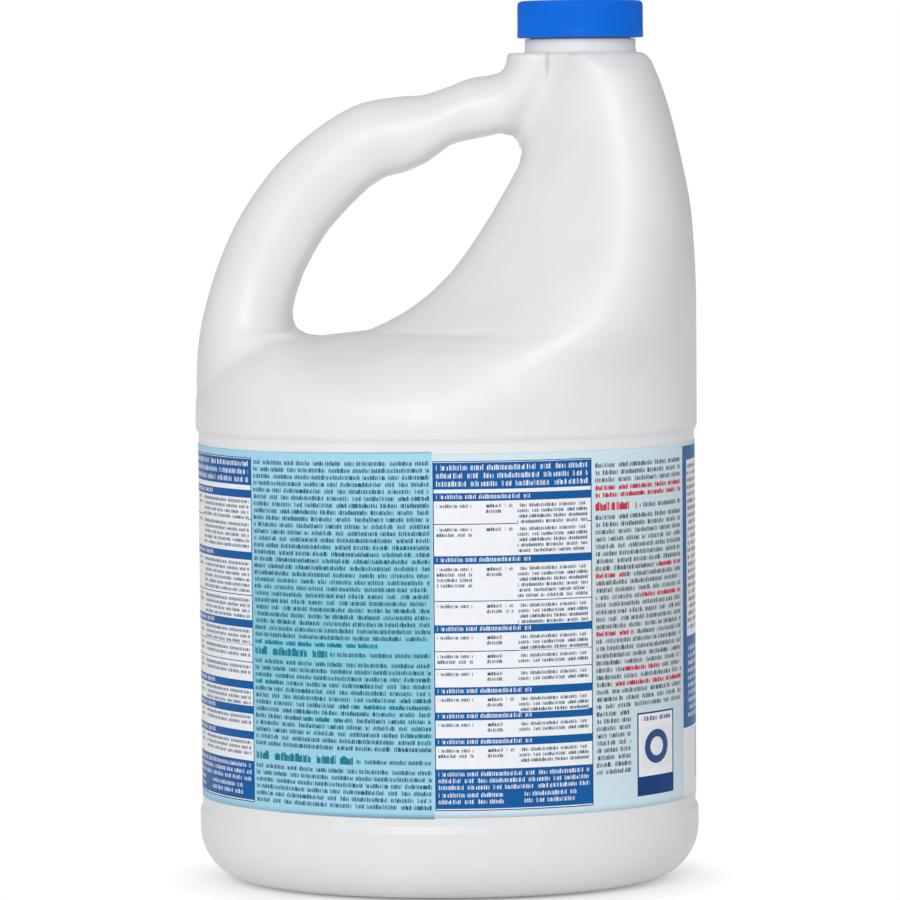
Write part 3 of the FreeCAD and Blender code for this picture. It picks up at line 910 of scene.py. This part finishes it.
# Long text on the cyan part, with its two large headings
text_rows(CYAN_LEFT, CYAN_RIGHT, 152.0, 26, CYAN_ROW, "cyan_text")
text_rows(CYAN_LEFT, -22.0, 90.2, 1, CYAN_ROW, "cyan_teal")
text_rows(CYAN_LEFT, -40.0, 88.0, 1, 4.2, "cyan_teal")
text_rows(-39.0, CYAN_RIGHT, 87.0, 1, CYAN_ROW, "cyan_text")
text_rows(CYAN_LEFT, CYAN_RIGHT, 83.6, 13, CYAN_ROW, "cyan_text")
text_rows(CYAN_LEFT, -56.0, 76.5, 1, CYAN_ROW, "cyan_teal")
text_rows(-30.0, -12.0, 69.4, 1, CYAN_ROW, "cyan_teal")
text_rows(-50.0, -34.0, 64.6, 1, CYAN_ROW, "cyan_teal")
text_rows(-12.0, CYAN_RIGHT, 59.9, 1, CYAN_ROW, "cyan_teal")
text_rows(CYAN_LEFT, -31.0, 51.9, 1, 4.4, "cyan_teal")
text_rows(-30.0, CYAN_RIGHT, 50.7, 1, CYAN_ROW, "cyan_text")
text_rows(CYAN_LEFT, CYAN_RIGHT, 47.3, 6, CYAN_ROW, "cyan_text")

# Second text on the pale part, with its red lines and heading
text_rows(PALE_LEFT, PALE_RIGHT, 150.6, 3, PALE_ROW, "pale_text")
text_rows(PALE_LEFT, PALE_RIGHT, 142.9, 2, PALE_ROW, "pale_red")
text_rows(PALE_LEFT, 71.5, 137.4, 1, 4.4, "pale_red")
text_rows(72.5, PALE_RIGHT, 136.2, 1, PALE_ROW, "pale_text")
text_rows(PALE_LEFT, PALE_RIGHT, 132.8, 27, PALE_ROW, "pale_text")
for start, end, top in ((82.0, PALE_RIGHT, 115.3), (PALE_LEFT, 66.0, 112.8), (74.0, PALE_RIGHT, 105.3),
                        (PALE_LEFT, 70.0, 92.8), (66.0, 84.0, 80.3), (60.0, PALE_RIGHT, 75.3)):
    text_rows(start, end, top, 1, PALE_ROW, "pale_red")
text_rows(PALE_LEFT, 68.4, 65.2, 9, PALE_ROW, "pale_text")

# Framed sign beside it: a ring over a solid bar
field(71.2, 90.0, 34.3, 63.2, "deep")
field(71.8, 89.4, 41.0, 62.6, "white")
field(73.2, 88.0, 43.6, 58.4, "ring")
text_rows(73.0, 88.2, 62.2, 1, 2.6, "white_text")
field(72.6, 88.6, 35.2, 40.0, "deep")

# Turn of the body on the right: blue column with a white inset, then bars over bare film
field(97.5, 128.0, 55.1, 153.6, "blue")
field(101.0, 126.0, 87.0, 148.6, "white")
text_rows(101.8, 125.0, 147.6, 24, 2.45, "white_text")
text_rows(101.8, 125.0, 84.0, 10, 2.6, "blue_text")
field(97.5, 128.0, 0.0, 55.1, "white")
for start, wide in ((112.6, 0.9), (114.6, 0.4), (116.0, 0.6), (117.6, 1.2), (119.8, 0.4), (121.2, 0.9), (123.2, 0.5)):
    field(start, start + wide, 36.5, 54.0, "deep")

# Front of the jug, turned away here: plain fields of the same colours
field(128.0, HALF_ROUND, 0.0, 200.0, "blue")
field(-HALF_ROUND, -127.0, 0.0, 200.0, "blue")


def label_mesh():
    # Wrap divided along the edges of its fields, with each face's print and its place in that field
    breaks_s = {round(s, 3) for row in FIELDS for s in row[:2]}
    breaks_s |= set(np.round(np.linspace(-HALF_ROUND, HALF_ROUND, LABEL_COLUMNS), 3))
    breaks_z = {round(z, 3) for row in FIELDS for z in row[2:4] if LABEL_BOTTOM < z < LABEL_TOP}
    breaks_z |= {LABEL_BOTTOM, LABEL_TOP}

    def thinned(values, least, keep):
        result = []
        for value in sorted(values):
            if result and value - result[-1] < least:
                if value in keep:
                    result[-1] = value
                continue
            result.append(value)
        return np.array(result)

    s_lines = thinned(breaks_s, LEAST_STEP, ())
    s_lines[0], s_lines[-1] = -HALF_ROUND, HALF_ROUND
    z_lines = thinned(breaks_z, LEAST_STEP, (LABEL_TOP,))
    columns = s_lines[:-1]
    x, y = label_ring(columns, LABEL_INSET)
    x_in, y_in = label_ring(columns, LABEL_INSET + LABEL_THICK)
    taller = np.clip(1 - (SEAM_S - columns) / OVERLAP_RUN, 0, 1) * (columns < SEAM_S)
    points = []
    for height in z_lines:
        share = (height - LABEL_BOTTOM) / (LABEL_TOP - LABEL_BOTTOM)
        points.append(np.stack([x, y, height + taller * (OVERLAP_LOW + OVERLAP_RISE * share)], axis=1))
    for height in (LABEL_TOP, LABEL_BOTTOM):
        points.append(np.stack([x_in, y_in, np.full(len(columns), height)], axis=1))
    points = np.concatenate(points)
    count = len(columns)
    polygons, kinds, places = [], [], []
    for row in range(len(z_lines) - 1):
        middle_z = (z_lines[row] + z_lines[row + 1]) / 2
        open_fields = [entry for entry in FIELDS if entry[2] < middle_z < entry[3]]
        for column in range(count):
            middle_s = (s_lines[column] + s_lines[column + 1]) / 2
            start, end, bottom, top, kind, pitch = [e for e in open_fields if e[0] < middle_s < e[1]][-1]
            after = (column + 1) % count
            polygons.append([row * count + column, row * count + after,
                             (row + 1) * count + after, (row + 1) * count + column])
            kinds.append(PRINT_NAMES.index(kind))
            for s, z in ((s_lines[column], z_lines[row]), (s_lines[column + 1], z_lines[row]),
                         (s_lines[column + 1], z_lines[row + 1]), (s_lines[column], z_lines[row + 1])):
                if kind == "ring":
                    places.append(((s - start) / (end - start), (z - bottom) / (top - bottom)))
                else:
                    places.append(((s - start) / pitch * STROKES + start, (top - z) / pitch))
    rings = [len(z_lines) - 1, len(z_lines), len(z_lines) + 1, 0]
    for here, there in zip(rings, rings[1:]):
        for column in range(count):
            after = (column + 1) % count
            polygons.append([here * count + column, here * count + after,
                             there * count + after, there * count + column])
            kinds.append(PRINT_NAMES.index("white"))
            places += [(0.0, 0.0)] * 4
    return points, polygons, kinds, places


label_points, label_faces, label_kinds, label_places = label_mesh()
label = solid("wrap_label", label_points, label_faces, None, "jug", ("label",))
for material in PRINTS.values():
    label.data.materials.append(material)
label.data.polygons.foreach_set("material_index", label_kinds)
print_layer = label.data.uv_layers.new(name="print")
print_layer.data.foreach_set("uv", np.array(label_places, dtype=np.float32).ravel())


FLOOR_REACH = 6.0
FLOOR_DROP = 0.0002
WHITE_FROM, WHITE_AT = 0.62, 1.15
WORLD_LEVEL = 0.48


def studio():
    # Floor that turns into the white backdrop away from the jug
    floor_mesh = bpy.data.meshes.new("floor")
    floor_mesh.from_pydata([(FLOOR_REACH * x, FLOOR_REACH * y, 0) for x, y in ((-1, -1), (1, -1), (1, 1), (-1, 1))],
                           [], [(0, 1, 2, 3)])
    floor = bpy.data.objects.new("floor", floor_mesh)
    bpy.context.scene.collection.objects.link(floor)
    floor.location.z = -FLOOR_DROP
    nodes = Nodes("floor_paper")
    tree = nodes.tree
    place = nodes.node("TexCoord", 3)
    body_sizes = (HALF_LENGTH * MM, HALF_DEPTH * MM, 1.0)
    round_base = nodes.node("VectorMath", 0, {"operation": "DIVIDE"}, in0=place, in1=body_sizes)
    away = nodes.node("VectorMath", 1, {"operation": "LENGTH"}, in0=round_base)
    fade = nodes.spread(away, WHITE_FROM, WHITE_AT, 0.0, 1.0)
    paths = tree.nodes.new("ShaderNodeLightPath")
    seen = nodes.maths("MAXIMUM", paths.outputs["Is Camera Ray"], paths.outputs["Is Glossy Ray"])
    share = nodes.maths("MULTIPLY", fade, seen)
    glow = tree.nodes.new("ShaderNodeEmission")
    glow.inputs["Strength"].default_value = 1.0
    blend = tree.nodes.new("ShaderNodeMixShader")
    nodes.put(blend.inputs[0], share)
    nodes.put(blend.inputs[1], nodes.shader.outputs[0])
    nodes.put(blend.inputs[2], glow.outputs[0])
    tree.links.new(blend.outputs[0], tree.nodes["Material Output"].inputs["Surface"])
    grain = nodes.noise(place, 700.0)
    nodes.finish(Base_Color=nodes.mix(grain, (0.93, 0.93, 0.93, 1), (0.96, 0.96, 0.96, 1)), Roughness=0.9)
    floor_mesh.materials.append(nodes.material)

    # The camera sees white, the jug a softer level
    world = bpy.data.worlds.new("studio")
    bpy.context.scene.world = world
    world.use_nodes = True
    tree = world.node_tree
    background = tree.nodes["Background"]
    paths = tree.nodes.new("ShaderNodeLightPath")
    white = tree.nodes.new("ShaderNodeBackground")
    white.inputs["Strength"].default_value = 1.0
    white.inputs["Color"].default_value = (1, 1, 1, 1)
    background.inputs["Color"].default_value = (1, 1, 1, 1)
    background.inputs["Strength"].default_value = WORLD_LEVEL
    blend = tree.nodes.new("ShaderNodeMixShader")
    tree.links.new(paths.outputs["Is Camera Ray"], blend.inputs[0])
    tree.links.new(background.outputs[0], blend.inputs[1])
    tree.links.new(white.outputs[0], blend.inputs[2])
    tree.links.new(blend.outputs[0], tree.nodes["World Output"].inputs["Surface"])


def lamp(name, place, target, size, watts):
    light = bpy.data.lights.new(name, "AREA")
    light.shape = "DISK"
    light.size = size
    light.energy = watts
    lamp_object = bpy.data.objects.new(name, light)
    bpy.context.scene.collection.objects.link(lamp_object)
    lamp_object.location = place
    lamp_object.rotation_mode = "QUATERNION"
    lamp_object.rotation_quaternion = (Vector(target) - Vector(place)).to_track_quat("-Z", "Y")


studio()

# One large soft lamp beside the camera, above the jug: place, target, size and watts
KEY_PLACE = (-0.3, -2.2, 1.3)
KEY_TARGET = (0, 0, 0.15)
KEY_SIZE = 1.4
KEY_WATTS = 28.0
lamp("key", KEY_PLACE, KEY_TARGET, KEY_SIZE, KEY_WATTS)

# Camera where the photograph's stood: place, heading, downward pitch, roll and lens
CAMERA_PLACE = Vector((0.05573, -1.61158, 0.27424))
CAMERA_HEADING = 0.03375
CAMERA_PITCH = 0.07614
CAMERA_ROLL = -0.00865
CAMERA_SENSOR = 36.0
CAMERA_LENS = 184.0
camera_data = bpy.data.cameras.new("camera")
camera_data.sensor_width = CAMERA_SENSOR
camera_data.lens = CAMERA_LENS
camera_data.clip_start = 0.05
camera_data.clip_end = 50.0
camera = bpy.data.objects.new("camera", camera_data)
bpy.context.scene.collection.objects.link(camera)
camera.matrix_world = (Matrix.Translation(CAMERA_PLACE) @ Matrix.Rotation(CAMERA_HEADING, 4, "Z")
                       @ Matrix.Rotation(math.pi / 2 - CAMERA_PITCH, 4, "X")
                       @ Matrix.Rotation(CAMERA_ROLL, 4, "Z"))
bpy.context.scene.camera = camera
bpy.context.scene.view_settings.view_transform = "Standard"
